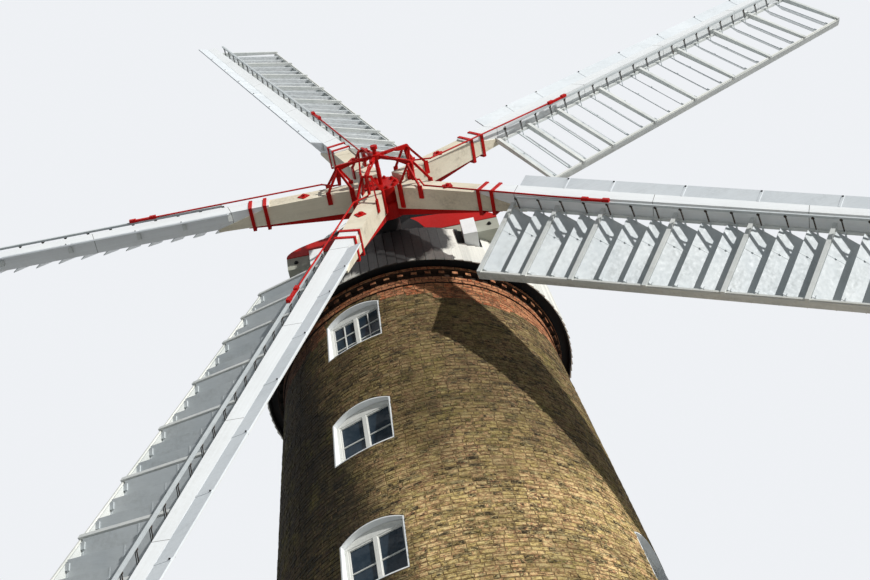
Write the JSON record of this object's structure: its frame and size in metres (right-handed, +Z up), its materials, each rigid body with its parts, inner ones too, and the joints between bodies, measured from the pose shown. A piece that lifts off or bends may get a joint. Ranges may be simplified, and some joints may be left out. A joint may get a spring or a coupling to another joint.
{
  "type": "five-sailed brick tower mill",
  "caption": "Tapering round brick tower mill with arched windows, a turning ogee cap with fantail, and shuttered sails on an iron cross.",
  "frame": {"origin": "centre of the round tower on the ground", "axes": "+Z up the tower, -Y the way the sails face, +X to the right seen from the front"},
  "size_m": [21.3972, 11.4156, 31.2115],
  "materials": {
    "brickwork": "gault brick in lime mortar",
    "red_brickwork": "red brick in lime mortar",
    "white_timber": "white paint, weathered",
    "red_timber": "red paint",
    "bare_timber": "sawn, unpainted",
    "red_iron": "red gloss paint",
    "black_iron": "black paint",
    "black_timber": "black paint",
    "window_glass": "clear",
    "white_shutter": "painted canvas on light frames"
  },
  "bodies": {
    "tower": {"wall_1": "brickwork", "wall_2": "brickwork", "wall_3": "brickwork", "wall_4": "brickwork", "wall_5": "brickwork", "wall_6": "brickwork", "wall_7": "brickwork", "wall_8": "brickwork", "cornice": "red_brickwork", "curb": "black_timber", "ground_floor": "brickwork", "upper_floors": "bare_timber", "window_frames_front": "white_timber", "window_frames_right": "white_timber", "window_frames_rear": "white_timber", "window_frames_left": "white_timber", "window_glass": "window_glass", "door_frames": "white_timber", "doors": "white_timber"},
    "cap": {"cap_ring": "black_timber", "sheers": "white_timber", "cap_skirt": "white_timber", "cap_dome": "white_timber", "cap_front": "black_timber", "finial": "white_timber", "weather_beam": "white_timber", "neck_bearing": "black_iron", "tail_beam": "bare_timber", "fan_stage": "white_timber", "fan_posts": "white_timber", "fan": "red_timber"},
    "sails": {"windshaft": "black_iron", "iron_cross": "red_iron", "sail_backs": "white_timber", "leading_boards": "white_timber", "sail_clamps": "red_iron", "whip_1": "white_timber", "whip_2": "white_timber", "whip_3": "white_timber", "whip_4": "white_timber", "whip_5": "white_timber", "sail_frame_1": "white_timber", "sail_frame_2": "white_timber", "sail_frame_3": "white_timber", "sail_frame_4": "white_timber", "sail_frame_5": "white_timber", "shutters_1": "white_shutter", "shutters_2": "white_shutter", "shutters_3": "white_shutter", "shutters_4": "white_shutter", "shutters_5": "white_shutter", "spider": "red_iron", "crank_stands": "red_iron", "bell_cranks": "red_iron", "crank_links": "red_iron", "striking_rods": "red_iron"}
  },
  "joints": [
    {"name": "cap_turn", "type": "hinge", "parent": "tower", "child": "cap", "pos_m": [0, 0, 19.078], "axis": [0, 0, 1], "continuous": true},
    {"name": "sails_turn", "type": "hinge", "parent": "cap", "child": "sails", "pos_m": [0, -3.48, 20.357], "axis": [0, -0.9763, 0.2164], "continuous": true}
  ]
}
